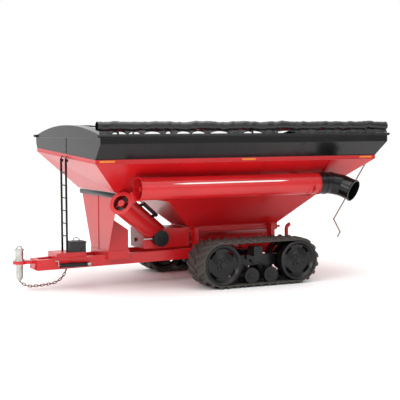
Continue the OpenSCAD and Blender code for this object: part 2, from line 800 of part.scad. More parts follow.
module tool_box() {
    b = box_at + box_size;
    color(black) {
        difference() {
            block(box_at + [0, 0, eps], b);
            block(box_at + [box_wall, box_wall, box_wall], b + [-box_wall, -box_wall, 1]);
        }
    }
    color("gray") {
        rod_y([box_at[0] + 250, box_at[1] - 25, deck_z + 90], 9, 25);
        rod_z([box_at[0] + 250, box_at[1] - 25, deck_z + 10], 9, 80);
        translate([box_at[0] + 250, box_at[1] - 25, deck_z + 90]) sphere(r = 9);
    }
}
module tool_box_lid() {
    b = box_at + box_size;
    z = b[2] + eps;
    mid = [(box_at[0] + b[0]) / 2, (box_at[1] + b[1]) / 2];
    color(black) {
        difference() {
            block([box_at[0] - 8, box_at[1] - 8, z - 18], [b[0] + 8, b[1] + 8, z + lid_h - 18]);
            block([box_at[0] - 1, box_at[1] - 1, z - 19], [b[0] + 1, b[1] + 1, z]);
        }
        rod_y([b[0] + 8, mid[1] - 100, z - 18], 6, 200);
        translate([mid[0], mid[1], z + lid_h - 20]) rotate([90, 0, 0])
            rotate_extrude(angle = 180) translate([80, 0]) circle(r = 9);
    }
}

// Hitch plate with its eye
module hitch_plate() {
    z0 = hitch_z - hitch_t / 2;
    z1 = hitch_z + hitch_t / 2;
    foot_x = tongue_x - nose_l;
    color(red) difference() {
        union() {
            rod_z([hitch_eye, 0, z0], hitch_eye_r, hitch_t);
            block([hitch_eye, -100, z0], [foot_x - 20, 100, z1]);
            block([foot_x - 30, -190, tongue_z - rail_h / 2 + 15], [foot_x - eps, 190, tongue_z + rail_h / 2 - 10]);
            for (s = [-1, 1]) for (z = [tongue_z - 60, tongue_z + 60])
                rod_x([foot_x - 44, s * 155, z], 16, 16);
        }
        rod_z([hitch_eye, 0, z0 - 1], pin_r + 0.6, hitch_t + 2);
    }
}

// Hitch pin with its collar and loop handle
module hitch_pin() {
    z1 = hitch_z + hitch_t / 2 + eps;
    color(steel) {
        rod_z([hitch_eye, 0, pin_low], pin_r, z1 - pin_low + 20);
        translate([hitch_eye, 0, tip_low]) cylinder(r1 = tip_r, r2 = pin_r, h = pin_low - tip_low);
        eye(chain_eye);
        rod_z([hitch_eye, 0, z1], 118, 36);
        rod_z([hitch_eye, 0, z1 + 30], 92, 220);
        rod_z([hitch_eye, 0, z1 + 240], 110, 30);
        translate([hitch_eye, 0, z1 + 270]) rotate([90, 0, 0]) rotate_extrude(angle = 180)
            translate([62, 0]) circle(r = 18);
    }
}

// Direction of link k in the XZ plane, in degrees
function link_turn(k) = k < 4 ? 10 * k - 40 : k < 11 ? 1.3 * (k - 4) : 7.5 + 10 * (k - 10);
function along(a) = [cos(a), 0, sin(a)];
function link_at(k) = k == 0 ? chain_eye + link_end * along(link_turn(0))
    : link_at(k - 1) + link_step / 2 * (along(link_turn(k - 1)) + along(link_turn(k)));
chain_end = link_at(links - 1) + link_end * along(link_turn(links - 1));

// Ring that a chain link hangs in
module eye(p) {
    translate(p) rotate([90, 0, 0]) rotate_extrude($fn = 48) translate([eye_r, 0]) circle(r = eye_wire, $fn = 24);
}

module link() {
    h = link_l / 2 - link_w + link_r;
    for (s = [-1, 1]) {
        rod_x([-h, s * link_w, 0], link_r, 2 * h);
        translate([s * h, 0, 0]) rotate([0, 0, s * 90 - 180]) rotate_extrude(angle = 180)
            translate([link_w, 0]) circle(r = link_r, $fn = 24);
    }
}
module safety_chain() {
    color("sienna") for (k = [0:links - 1])
        translate(link_at(k)) rotate([0, -link_turn(k), 0]) rotate([k % 2 * 90, 0, 0]) link();
}

// Parking jack stowed along the near rail
module jack_tube() {
    x0 = jack_x - jack_l / 2;
    color(black) difference() {
        union() {
            rod_x([x0, -jack_y, jack_z], jack_r, jack_l);
            rod_y([jack_x, -jack_y, jack_z], 55, jack_y - mount_y - eps);
            rod_x([x0, -jack_y, jack_z], jack_r + 6, 30);
        }
        rod_x([x0 + 40, -jack_y, jack_z], leg_r + run, jack_l);
        rod_y([jack_x, -jack_y, jack_z], swivel_r + run, jack_y);
        rod_x([x0 - 1, -jack_y, jack_z], 12 + run, 60);
    }
}
module jack_leg() {
    x0 = jack_x - jack_l / 2;
    color(steel) difference() {
        union() {
            rod_x([x0 + 60, -jack_y, jack_z], leg_r, jack_l + 10);
            rod_x([x0 + jack_l + 60, -jack_y, jack_z], 70, 12);
        }
        rod_x([x0 + 59, -jack_y, jack_z], 30, 500);
    }
}
module jack_crank() {
    x0 = jack_x - jack_l / 2;
    color(steel) {
        rod_x([x0 - 35, -jack_y, jack_z], 12, 60);
        rod_z([x0 - 35, -jack_y, jack_z - 4], 9, 110);
        rod_x([x0 - 110, -jack_y, jack_z + 106], 11, 84);
    }
}

module reflectors() {
    z = lip_near_z - lip_h / 2;
    zf = lip_far_z - lip_h / 2;
    color("orange") for (x = [front_x + 90, front_x + hopper_l / 2 - 130, lip_rear - 450]) {
        block([x, -lip_near - 4 - eps, z - 22], [x + 350, -lip_near - eps, z + 22]);
        block([x, lip_far + eps, zf - 22], [x + 350, lip_far + 4 + eps, zf + 22]);
    }
}
module light_bar() {
    z = lip_far_z - lip_h - 160;
    x = lip_rear + eps;
    color(black) block([x, -900, z - 45], [x + 30, 900, z + 45]);
    color("red") for (s = [-1, 1]) rod_x([x + 30, s * 780, z], 40, 14);
    color("orange") for (s = [-1, 1]) rod_x([x + 30, s * 640, z], 40, 14);
    color("white") for (s = [-1, 1]) rod_x([x + 30, s * 500, z], 32, 12);
}

// Undercarriage beam of one track, drawn at its own middle
module track_frame() {
    color(black) difference() {
        union() {
            rod_y([0, -150, axle_z], hub_r, 300);
            block([-wheel_x + 90, -beam_y, wheel_z - 90], [wheel_x - 90, beam_y, wheel_z + 150]);
            for (s = [-1, 1]) {
                rod_y([s * wheel_x, -disc_in + 12, wheel_z], 105, 2 * disc_in - 24);
                rod_y([s * wheel_x, -disc_out - 8, wheel_z], axle_r, 2 * disc_out + 16);
                block([s * roller_x - 60, -beam_y, roller_z - 55], [s * roller_x + 60, beam_y, wheel_z]);
                rod_y([s * roller_x, -disc_out + 6, roller_z], roller_axle, 2 * disc_out - 12);
            }
            block([-170, -340, wheel_z + 150], [50, -60, wheel_z + 370]);
            block([-260, -beam_y - 60, wheel_z + 60], [260, -beam_y + 10, wheel_z + 165]);
        }
        rod_y([0, -151, axle_z], spindle_r + run, 302);
    }
}
module near_track_frame() { translate([0, -track_y, 0]) track_frame(); }
module far_track_frame() { mirror([0, 1, 0]) near_track_frame(); }

module stadium(r) {
    for (s = [-1, 1]) translate([s * wheel_x, wheel_z]) circle(r = r, $fn = 120);
    translate([-wheel_x, wheel_z - r]) square([wheel_base, 2 * r]);
}
module near_belt() {
    color(rubber) translate([0, -track_y + belt_w / 2, 0]) rotate([90, 0, 0]) linear_extrude(belt_w)
        difference() {
            stadium(belt_r);
            stadium(belt_r - belt_t);
        }
}
module far_belt() { mirror([0, 1, 0]) near_belt(); }

// Dished wheel half, its outer face at y = -disc_out
module wheel_half() {
    y0 = -disc_out;
    dish = [[axle_r + run, y0 - 6], [78, y0 - 6], [92, y0 + 30], [170, y0 + 44], [205, y0 + 60], [300, y0 + 84],
        [360, y0 + 70], [405, y0 + 12], [wheel_r - 28, y0], [wheel_r - 12, y0], [wheel_r, y0 + 12],
        [wheel_r, -disc_in - 10], [wheel_r - 20, -disc_in], [wheel_r - 55, -disc_in],
        [wheel_r - 60, y0 + 100], [300, y0 + 108], [205, y0 + 86], [150, y0 + 74], [110, -disc_in],
        [axle_r + run, -disc_in]];
    difference() {
        rotate([90, 0, 0]) rotate_extrude($fn = 120) polygon([for (p = dish) [p[0], -p[1]]]);
        for (a = [30:90:300]) translate([0, y0 + 150, 0]) rotate([90, 0, 0]) rotate([0, 0, a])
            rotate_extrude(angle = 34) translate([306, 0]) square([50, 170]);
    }
    for (a = [0:36:324]) rotate([0, a, 0]) rod_y([150, y0 + 30, 0], 13, 14);
}
module wheel() {
    color(black) both() wheel_half();
}
module near_front_wheel() { translate([-wheel_x, -track_y, wheel_z]) wheel(); }
module near_rear_wheel() { translate([wheel_x, -track_y, wheel_z]) wheel(); }
module far_front_wheel() { mirror([0, 1, 0]) near_front_wheel(); }
module far_rear_wheel() { mirror([0, 1, 0]) near_rear_wheel(); }

module roller() {
    l = disc_out - disc_in - 40;
    color(black) both() difference() {
        union() {
            rod_y([0, -disc_out + 20, 0], roller_r, l);
            rod_y([0, -disc_out + 8, 0], roller_r * 0.62, 20);
        }
        rod_y([0, -disc_out, 0], roller_axle + run, l + 40);
    }
}
module near_front_roller() { translate([-roller_x, -track_y, roller_z]) roller(); }
module near_rear_roller() { translate([roller_x, -track_y, roller_z]) roller(); }
module far_front_roller() { mirror([0, 1, 0]) near_front_roller(); }
module far_rear_roller() { mirror([0, 1, 0]) near_rear_roller(); }

at_axle() hopper_near_side();
at_axle() hopper_far_side();
at_axle() hopper_front();
at_axle() hopper_rear();
at_axle() extension_near();
at_axle() extension_far();
at_axle() extension_front();
at_axle() extension_rear();
at_axle() end_caps();
at_axle() tarp_bows();
at_axle() tarp_roll();
at_axle() tarp_crank();
at_axle() auger_trough();
at_axle() auger_boot();
at_axle() floor_auger_shaft();
at_axle() floor_auger_flight();
at_axle() cleanout_door();
at_axle() flow_gate();
at_axle() lower_tube();
at_axle() lower_auger_shaft();
at_axle() lower_auger_flight();
at_axle() upper_tube();
at_axle() upper_auger_shaft();
at_axle() upper_auger_flight();
at_axle() spout();
at_axle() hinge_pin();
at_axle() fold_cylinder();
at_axle() fold_rod();
at_axle() auger_rest();
at_axle() gearbox();
at_axle() input_shaft();
at_axle() tongue_rails();
at_axle() crossmembers();
at_axle() bulkhead();
at_axle() axle_tube();
at_axle() hopper_legs();
at_axle() deck();
at_axle() ladder();
at_axle() tool_box();
at_axle() tool_box_lid();
at_axle() hitch_plate();
at_axle() hitch_pin();
at_axle() safety_chain();
at_axle() jack_tube();
at_axle() jack_leg();
at_axle() jack_crank();
at_axle() reflectors();
at_axle() light_bar();
at_axle() near_track_frame();
at_axle() far_track_frame();
at_axle() near_belt();
at_axle() far_belt();
at_axle() near_front_wheel();
at_axle() near_rear_wheel();
at_axle() far_front_wheel();
at_axle() far_rear_wheel();
at_axle() near_front_roller();
at_axle() near_rear_roller();
at_axle() far_front_roller();
at_axle() far_rear_roller();
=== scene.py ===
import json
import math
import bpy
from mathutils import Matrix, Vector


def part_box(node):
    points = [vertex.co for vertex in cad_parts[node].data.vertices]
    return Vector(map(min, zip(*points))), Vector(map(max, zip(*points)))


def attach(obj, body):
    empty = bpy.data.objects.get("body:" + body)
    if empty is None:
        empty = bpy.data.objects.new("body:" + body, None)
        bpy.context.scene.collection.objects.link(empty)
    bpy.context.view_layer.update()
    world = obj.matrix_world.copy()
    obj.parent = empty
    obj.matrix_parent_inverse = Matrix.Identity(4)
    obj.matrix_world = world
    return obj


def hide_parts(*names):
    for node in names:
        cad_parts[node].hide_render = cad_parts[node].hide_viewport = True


bl_info = {
    "name": "Grain Cart Looks",
    "version": (1, 0, 0),
    "blender": (4, 5, 0),
    "location": "View3D > Sidebar > Grain Cart",
    "description": "Tarp, track belts, seams, trims, fixings and finishes of a tracked grain cart",
    "category": "Object",
}

import bmesh
import bpy
import numpy as np
from mathutils import Matrix, Vector

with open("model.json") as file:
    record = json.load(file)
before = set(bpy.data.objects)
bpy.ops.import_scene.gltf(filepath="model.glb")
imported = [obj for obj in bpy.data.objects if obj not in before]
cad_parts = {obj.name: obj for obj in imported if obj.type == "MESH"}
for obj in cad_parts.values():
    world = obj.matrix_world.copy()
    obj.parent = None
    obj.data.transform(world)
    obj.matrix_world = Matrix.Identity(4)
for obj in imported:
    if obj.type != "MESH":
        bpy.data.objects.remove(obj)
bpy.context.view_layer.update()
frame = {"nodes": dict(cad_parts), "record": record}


def span(node):
    """Lowest and highest corner of a CAD node as two arrays."""
    low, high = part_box(node)
    return np.array(low), np.array(high)


def middle(node):
    """Middle of a CAD node's box."""
    low, high = span(node)
    return (low + high) / 2


# Places in metres: X runs to the rear, -Y is the auger's side, Z is up
AXLE_X = middle("axle_tube")[0]
STRIP_LOW, STRIP_HIGH = span("extension_near")
HOPPER_FRONT, HOPPER_REAR, RIM_Z = STRIP_LOW[0], STRIP_HIGH[0], STRIP_HIGH[2]
HALF_W = -STRIP_LOW[1]
STRIP = 0.14            # height of the upright part of the extension
LIP = 0.09              # height of the red lip under the extension
# each side's sign, and the y and z of the line where the extension meets the lip
SIDES = ((-1, span("hopper_near_side")[0][1], STRIP_LOW[2]),
         (1, span("hopper_front")[1][1], span("extension_far")[0][2]))
KNEE_X, KNEE_Y, KNEE_Z = HOPPER_FRONT + 0.72, 1.205, 2.215  # where the flare meets the funnel
FUNNEL_Z = 1.3          # foot of the funnel, where the upright sump begins
FUNNEL_HALF_W = span("auger_trough")[1][1]
FUNNEL_ENDS = (AXLE_X - 1.14, AXLE_X + 1.28)
TUBE_R = 0.25           # outside of both auger tubes
COLLAR_R = 0.2563       # outside of the spout's tube


# ---------------------------------------------------------------- sizes and colours

class GrainCartSizes(bpy.types.PropertyGroup):
    """Sizes of the pieces that are shaped here."""
    lug_count: bpy.props.IntProperty(
        name="Lug pairs", description="Tread lugs on each half of a belt", default=34, min=20, max=60)
    lug_height: bpy.props.FloatProperty(
        name="Lug height", description="Height of a tread lug", default=0.045, min=0.02, max=0.07,
        subtype="DISTANCE", unit="LENGTH")
    lug_sweep: bpy.props.FloatProperty(
        name="Lug sweep", description="How far a lug runs back from the middle to the edge",
        default=0.17, min=0.0, max=0.3, subtype="DISTANCE", unit="LENGTH")
    belt_carcass: bpy.props.FloatProperty(
        name="Belt thickness", description="Thickness of the belt under its lugs", default=0.035,
        min=0.02, max=0.05, subtype="DISTANCE", unit="LENGTH")
    tarp_turns: bpy.props.IntProperty(
        name="Tarp turns", description="Turns of the rolled tarp", default=12, min=4, max=20)
    crease_depth: bpy.props.FloatProperty(
        name="Crease depth", description="Depth of the creases in the rolled tarp", default=0.014,
        min=0.0, max=0.03, subtype="DISTANCE", unit="LENGTH")
    seam_width: bpy.props.FloatProperty(
        name="Seam strap width", description="Width of the straps over the extension's joints",
        default=0.07, min=0.03, max=0.15, subtype="DISTANCE", unit="LENGTH")
    # width of the white strip that paints a highlight along the folding tube
    painted_highlight_width: bpy.props.FloatProperty(
        name="Stripe width", description="Width of the plain stripe on the folding tube", default=0.03,
        min=0.01, max=0.1, subtype="DISTANCE", unit="LENGTH")


class GrainCartColours(bpy.types.PropertyGroup):
    """Finish colours, as sRGB hex values."""
    red_enamel: bpy.props.StringProperty(
        name="Red enamel", description="Hopper, frame and tube paint", default="#C4151A")
    black_enamel: bpy.props.StringProperty(
        name="Black enamel", description="Extension, spout and wheel paint", default="#0E0E10")
    belt_rubber: bpy.props.StringProperty(
        name="Belt rubber", description="Dusty track rubber", default="#37332F")
    tarp_vinyl: bpy.props.StringProperty(
        name="Tarp vinyl", description="Coated cloth of the tarp", default="#0D0D0F")
    amber: bpy.props.StringProperty(
        name="Amber reflector", description="Side marker reflectors", default="#E8862E")
    zinc: bpy.props.StringProperty(name="Zinc plate", description="Hitch pin and crank", default="#C9C9C4")
    chain: bpy.props.StringProperty(
        name="Chain", description="Bronze coloured safety chain", default="#8A6A4C")
    floor: bpy.props.StringProperty(name="Floor", description="Studio floor", default="#FBFBFB")


def sizes():
    """The scene's sizes."""
    return bpy.context.scene.grain_cart_sizes


def colours():
    """The scene's colours."""
    return bpy.context.scene.grain_cart_colours


# ---------------------------------------------------------------- materials

def linear(code):
    """An sRGB hex colour as linear RGBA."""
    digits = code.lstrip("#")
    values = np.array([int(digits[k:k + 2], 16) / 255 for k in (0, 2, 4)])
    light = np.where(values <= 0.04045, values / 12.92, ((values + 0.055) / 1.055) ** 2.4)
    return light.tolist() + [1.0]


def add(tree, kind, settings=None, inputs=None, links=None):
    """Adds one node, with its settings, its input values and its incoming links."""
    node = tree.nodes.new(kind)
    for key, value in (settings or {}).items():
        setattr(node, key, value)
    for key, value in (inputs or {}).items():
        node.inputs[key].default_value = value
    for key, source in (links or {}).items():
        tree.links.new(source, node.inputs[key])
    return node


def finish(name, colour, second, metallic, roughness, spread, patch_mm, grain_mm, bump_mm,
           coat=0.0, coat_roughness=0.05, specular=0.5):
    """A finish with wide patches of a second shade, and a fine grain that spreads its roughness and
    lifts its surface. Patches, grain and lift are in millimetres."""
    material = bpy.data.materials.new(name)
    material.use_nodes = True
    tree = material.node_tree
    tree.nodes.clear()
    out = add(tree, "ShaderNodeOutputMaterial")
    place = add(tree, "ShaderNodeTexCoord").outputs["Object"]
    patches = add(tree, "ShaderNodeTexNoise",
                  inputs={"Scale": 1000 / patch_mm, "Detail": 5.0, "Roughness": 0.6},
                  links={"Vector": place})
    grain = add(tree, "ShaderNodeTexNoise",
                inputs={"Scale": 1000 / grain_mm, "Detail": 3.0, "Roughness": 0.55},
                links={"Vector": place})
    ramp = add(tree, "ShaderNodeValToRGB", links={"Fac": patches.outputs["Fac"]})
    for stop, position, shade in zip(ramp.color_ramp.elements, (0.35, 0.7), (colour, second)):
        stop.position = position
        stop.color = linear(shade)
    rough = add(tree, "ShaderNodeMapRange",
                inputs={"To Min": max(0.02, roughness - spread), "To Max": roughness + spread},
                links={"Value": grain.outputs["Fac"]})
    bump = add(tree, "ShaderNodeBump", inputs={"Strength": 0.6, "Distance": bump_mm / 1000},
               links={"Height": grain.outputs["Fac"]})
    shader = add(tree, "ShaderNodeBsdfPrincipled",
                 inputs={"Metallic": metallic, "Coat Weight": coat, "Coat Roughness": coat_roughness,
                         "Specular IOR Level": specular},
                 links={"Base Color": ramp.outputs["Color"], "Roughness": rough.outputs["Result"],
                        "Normal": bump.outputs["Normal"]})
    tree.links.new(shader.outputs[0], out.inputs[0])
    return material


def made_finish(name):
    """A finish that the finishes operator has made."""
    return bpy.data.materials[name]


def paint(obj, material):
    """Gives an object one material."""
    obj.data.materials.clear()
    obj.data.materials.append(material)
    return obj


# ---------------------------------------------------------------- surfaces

def grid_faces(rows, columns, around=False, along=False):
    """Quads of a grid of points; around closes it across the columns, along across the rows."""
    i, j = np.meshgrid(np.arange(rows if along else rows - 1),
                       np.arange(columns if around else columns - 1), indexing="ij")
    k, m = (i + 1) % rows, (j + 1) % columns
    corners = [i * columns + j, i * columns + m, k * columns + m, k * columns + j]
    return np.stack(corners, -1).reshape(-1, 4).tolist()


def capped(rows, columns):
    """Quads of a tube of rows rings, and a flat face on its first and on its last ring."""
    last = (rows - 1) * columns
    return grid_faces(rows, columns, around=True) + [
        list(range(columns))[::-1], list(range(last, last + columns))]


def turn(count, start=0.0):
    """Angles of a full turn in equal steps."""
    return start + np.linspace(0, 2 * math.pi, count, endpoint=False)


def put(name, parts, finish_name, body, closed=True, sharp=40):
    """One object from several (points, faces) parts, riding on a body. A closed one has its faces
    turned outwards, and edges sharper than sharp degrees stay crisp."""
    points, faces, start = [], [], 0
    for part_points, part_faces in parts:
        points.append(np.asarray(part_points, float).reshape(-1, 3))
        faces += [[corner + start for corner in face] for face in part_faces]
        start += len(points[-1])
    mesh = bpy.data.meshes.new(name)
    mesh.from_pydata(np.concatenate(points).tolist(), [], faces)
    mesh.validate()
    obj = bpy.data.objects.new(name, mesh)
    bpy.context.scene.collection.objects.link(obj)
    if closed:
        work = bmesh.new()
        work.from_mesh(mesh)
        bmesh.ops.remove_doubles(work, verts=work.verts, dist=1e-6)
        bmesh.ops.recalc_face_normals(work, faces=work.faces)
        work.to_mesh(mesh)
        work.free()
    mesh.shade_smooth()
    if sharp:
        mesh.set_sharp_from_angle(angle=math.radians(sharp))
    paint(obj, made_finish(finish_name))
    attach(obj, body)
    return obj


def unit(v):
    """A vector of length one."""
    v = np.array(v, float)
    return v / np.linalg.norm(v)


def frame_of(axis):
    """Three unit vectors, the last along axis and the first level."""
    w = unit(axis)
    u = np.cross([0, 0, 1.0], w)
    if np.linalg.norm(u) < 1e-6:
        u = np.cross([1.0, 0, 0], w)
    u = unit(u)
    return u, np.cross(w, u), w


def turned(profile, at, axis, steps=24, ring=False):
    """A profile of (radius, height) points turned round an axis: each point stands at its height along
    the axis and its radius out from it, in every direction round it. A ring's profile is closed on
    itself, and any other has both its ends capped."""
    u, v, w = frame_of(axis)
    a = turn(steps)
    circle = np.cos(a)[:, None] * u + np.sin(a)[:, None] * v
    p = np.array(profile, float)
    points = np.array(at) + p[:, None, 0:1] * circle[None] + p[:, None, 1:2] * w
    faces = grid_faces(len(p), steps, around=True, along=True) if ring else capped(len(p), steps)
    return points, faces


def bolt(at, axis, across=0.03, height=0.014, washer=True):
    """A hexagon head with a chamfered top, standing on a round washer."""
    r = across / math.sqrt(3)
    parts = [turned([(r, 0.003), (r, height * 0.8), (r * 0.84, height)], at, axis, 6)]
    if washer:
        parts.append(turned([(r * 1.35, 0), (r * 1.35, 0.0028), (r * 1.28, 0.0035)], at, axis, 20))
    return parts


def tube(path, radius, sides=12, closed=False):
    """A round tube along a path: at each point a circle lies across the path's direction there,
    starting from the side given by one fixed axis, the one the path leans towards least."""
    p = np.array(path, float)
    d = np.roll(p, -1, 0) - np.roll(p, 1, 0) if closed else np.gradient(p, axis=0)
    d /= np.linalg.norm(d, axis=1)[:, None]
    hint = np.eye(3)[np.argmin(np.abs(d).max(0))]
    u = np.cross(hint, d)
    u /= np.linalg.norm(u, axis=1)[:, None]
    v = np.cross(d, u)
    a = turn(sides)[None, :, None]
    points = p[:, None] + radius * (np.cos(a) * u[:, None] + np.sin(a) * v[:, None])
    return points, grid_faces(len(p), sides, True, True) if closed else capped(len(p), sides)


def strap(points, width, thick, normal, across):
    """A flat strap with chamfered edges along a line of points: width wide along across, and thick
    along normal."""
    p, n, c = np.array(points, float), np.array(normal, float), np.array(across, float)
    half = width / 2
    edge = min(thick, width / 4) * 0.6
    section = [(-half, 0), (-half, thick - edge), (-half + edge, thick),
               (half - edge, thick), (half, thick - edge), (half, 0)]
    return np.stack([p + side * c + rise * n for side, rise in section], 1), capped(len(p), 6)


def rounded_bar(low, high, edge):
    """A box with chamfered edges: an eight-cornered outline carried along X, drawn in at both ends."""
    draw = edge * 0.7

    def outline(x, inset):
        """The outline across X, set in on all sides."""
        y0, y1, z0, z1 = low[1] + inset, high[1] - inset, low[2] + inset, high[2] - inset
        return [(x, y0 + edge, z0), (x, y1 - edge, z0), (x, y1, z0 + edge), (x, y1, z1 - edge),
                (x, y1 - edge, z1), (x, y0 + edge, z1), (x, y0, z1 - edge), (x, y0, z0 + edge)]

    rows = [outline(low[0], draw), outline(low[0] + draw, 0),
            outline(high[0] - draw, 0), outline(high[0], draw)]
    return np.array(rows), capped(4, 8)


# ---------------------------------------------------------------- operators

class GRAINCART_OT_finishes(bpy.types.Operator):
    """Makes the finishes and gives each carried CAD node its own"""
    bl_idname = "graincart.finishes"
    bl_label = "Finishes"

    def execute(self, context):
        c = colours()
        # sprayed gloss enamel on sheet steel: deep, even, slight orange peel under a clear top
        red = finish("red_gloss_enamel", c.red_enamel, "#B81218", 0.0, 0.3, 0.05, 900, 9, 0.05,
                     coat=0.12, coat_roughness=0.08)
        # the same spray in black: shows its surroundings more than its colour
        black = finish("black_gloss_enamel", c.black_enamel, "#141416", 0.0, 0.2, 0.05, 700, 9, 0.05,
                       specular=0.34)
        # black paint on castings, a little duller, with a coarser skin
        cast = finish("black_cast_paint", "#0B0B0C", "#121214", 0.0, 0.3, 0.08, 300, 14, 0.2,
                      specular=0.35)
        # zinc plated steel: bright, slightly cloudy
        zinc = finish("zinc_plate", c.zinc, "#A8A8A2", 1.0, 0.28, 0.1, 120, 6, 0.05)
        # rolled and worn auger steel: duller, in long uneven patches
        worn = finish("worn_auger_steel", "#8C8A86", "#6B6762", 1.0, 0.42, 0.14, 150, 8, 0.1)
        # natural rubber with dry dust in its skin
        rubber = finish("dusty_track_rubber", c.belt_rubber, "#453F3A", 0.0, 0.72, 0.12, 60, 7, 0.6)
        # coated cloth: smooth, semi gloss, the weave showing through
        vinyl = finish("coated_tarp_vinyl", c.tarp_vinyl, "#151517", 0.0, 0.3, 0.08, 180, 5, 0.25)
        # moulded reflector plastic: clear gloss over a warm body
        amber = finish("amber_reflector", c.amber, "#D87420", 0.0, 0.18, 0.06, 40, 5, 0.3,
                       coat=0.8, coat_roughness=0.04)
        # moulded plastic with a fine grain: soft, grey highlights
        plastic = finish("moulded_black_plastic", "#1B1C1E", "#242528", 0.0, 0.48, 0.08, 200, 3, 0.25)
        # bronze coloured chain, dulled in its hollows
        chain = finish("bronzed_chain", c.chain, "#5E4632", 1.0, 0.38, 0.14, 20, 4, 0.2)
        # white film for the painted highlight along the folding tube: flat and even under a thin gloss
        finish("painted_highlight_film", "#EDEDEA", "#E2E2DE", 0.0, 0.3, 0.05, 400, 10, 0.02, coat=0.3)
        # lamp lenses: a deep gloss over red, and over pale grey
        finish("red_lamp_lens", "#B0141A", "#9A0F15", 0.0, 0.15, 0.04, 60, 5, 0.2, coat=0.9)
        finish("clear_lamp_lens", "#D9DCDE", "#CFD2D5", 0.0, 0.12, 0.04, 60, 5, 0.2, coat=0.9)
        black_nodes = ("axle_tube", "extension_near", "extension_far", "extension_front",
                       "extension_rear", "end_caps", "tarp_bows", "spout", "ladder")
        cast_nodes = ("near_track_frame", "far_track_frame", "fold_cylinder", "gearbox", "jack_tube",
                      "light_bar")
        cast_nodes += tuple(f"{side}_{end}_{kind}" for side in ("near", "far")
                            for end in ("front", "rear") for kind in ("wheel", "roller"))
        zinc_nodes = ("hitch_pin", "tarp_crank", "input_shaft", "jack_leg", "jack_crank", "fold_rod")
        by_slot = {"red_paint": red, "black_paint": black, "bright_steel": worn, "rubber": rubber,
                   "tarp_vinyl": vinyl, "amber_lens": amber, "grey_plastic": plastic,
                   "chain_steel": chain}
        by_node = {name: by_slot[piece["material_slot"]]
                   for piece in frame["record"]["subparts"] for name in [piece["node"]]}
        for names, material in ((black_nodes, black), (cast_nodes, cast), (zinc_nodes, zinc)):
            by_node.update(dict.fromkeys(names, material))
        for name, node in frame["nodes"].items():
            paint(node, by_node[name])
        return {"FINISHED"}


class GRAINCART_OT_tarp(bpy.types.Operator):
    """Makes the rolled tarp, a creased sheet wound in a spiral, and its scalloped hem down to the rail.
    The roll: each row of the sheet is a spiral whose radius grows from the core's to the roll's with
    the power 0.93 of the share wound; creases add a sum of sine waves that run along the roll and
    round it, growing with the cube of that share; the roll waves up and down a little once a bow.
    The hem: each column rises from the rail to the roll's underside; its foot is lifted off the rail
    by the root of half a sine over each opening, and two sine waves push it in and out"""
    bl_idname = "graincart.tarp"
    bl_label = "Rolled tarp"

    def execute(self, context):
        low, high = span("tarp_roll")
        y, z = (low[1] + high[1]) / 2, (low[2] + high[2]) / 2
        radius = (high[2] - low[2]) / 2
        self.roll(low[0], high[0], y, z, radius)
        self.hem(low[0] + 0.02, high[0] - 0.02, y, z, radius)
        return {"FINISHED"}

    def roll(self, front, rear, y, z, radius):
        """The wound sheet, between two ends, round the line at y and z."""
        s = sizes()
        rows, steps_a_turn, core, bow_step = 190, 26, 0.014, 1.075
        along = np.linspace(front, rear, rows)
        share = np.linspace(0, 1, s.tarp_turns * steps_a_turn + 1)
        x, t = np.meshgrid(along, share, indexing="ij")
        angle = 2 * math.pi * s.tarp_turns * t - 0.6
        rng = np.random.default_rng(7)
        crease = np.zeros_like(x)
        # wavelength along the roll, waves in a turn, share of the depth
        waves = ((0.9, 1, 1.0), (0.46, 1, 0.8), (0.31, 2, 0.7), (0.21, 3, 0.5), (0.13, 2, 0.35),
                 (0.09, 4, 0.25))
        for wave, round_it, part in waves:
            phase, skew = rng.uniform(0, 6.28, 2)
            drift = 0.8 * np.sin(2 * math.pi * x / 1.7 + skew)
            crease += part * np.sin(2 * math.pi * x / wave + round_it * angle + phase + drift)
        crease = crease / 2.2 - 0.35
        r = core + (radius - 0.006 - core) * t ** 0.93 + s.crease_depth * crease * t ** 3
        sag = 0.008 * np.sin(2 * math.pi * (x - front) / bow_step) * t
        points = np.stack([x, y + r * np.cos(angle), z + r * np.sin(angle) + sag], -1)
        tarp = put("rolled_tarp", [(points, grid_faces(rows, len(share)))], "coated_tarp_vinyl", "cart",
                   closed=False, sharp=0)
        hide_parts("tarp_roll")
        self.cloth(tarp, rear - front, ["tarp_bows"])

    def hem(self, front, rear, y, z, radius):
        """The sheet's edge, from the rail up to the roll at y and z."""
        clear, high_lift, low_lift = 0.002, 0.055, 0.02
        rail_top, rail_y = RIM_Z + 0.0603, -HALF_W + 0.012
        # ends of each opening, measured from the axle; those behind the last high one are lower
        openings = ((-3.73, -3.41), (-3.35, -3.1), (-3.0, -2.62), (-2.5, -2.38), (-2.24, -1.92),
                    (-1.88, -1.56), (-1.43, -0.99), (-0.61, -0.13), (0.23, 0.76), (1.3, 1.5),
                    (2.1, 2.45))
        last_high = 1.0
        along = np.linspace(front, rear, 900)
        lift = np.zeros_like(along)
        for start, end in openings:
            u = np.clip((along - AXLE_X - start) / (end - start), 0, 1)
            height = high_lift if start < last_high else low_lift
            lift = np.maximum(lift, np.sin(math.pi * u) ** 0.5 * height)
        x, up = np.meshgrid(along, np.linspace(0, 1, 7), indexing="ij")
        foot = rail_top + clear + lift[:, None]
        top = np.maximum(z - radius * 0.78, foot + 0.004)
        waves = 0.012 * np.sin(2 * math.pi * x / 0.23) * np.sin(math.pi * up)
        waves += 0.01 * np.sin(2 * math.pi * x / 0.61 + 1)
        in_out = rail_y + 0.004 + (y - radius * 0.5 - rail_y) * up ** 1.3 + waves * 0.6
        points = np.stack([x, in_out, foot + (top - foot) * up], -1)
        hem = put("tarp_hem", [(points, grid_faces(len(along), 7))], "coated_tarp_vinyl", "cart",
                  closed=False, sharp=0)
        self.cloth(hem, rear - front, ["tarp_bows", "rolled_tarp"])

    def cloth(self, obj, length, rests_on):
        """Takes a sheet and does nothing with it."""


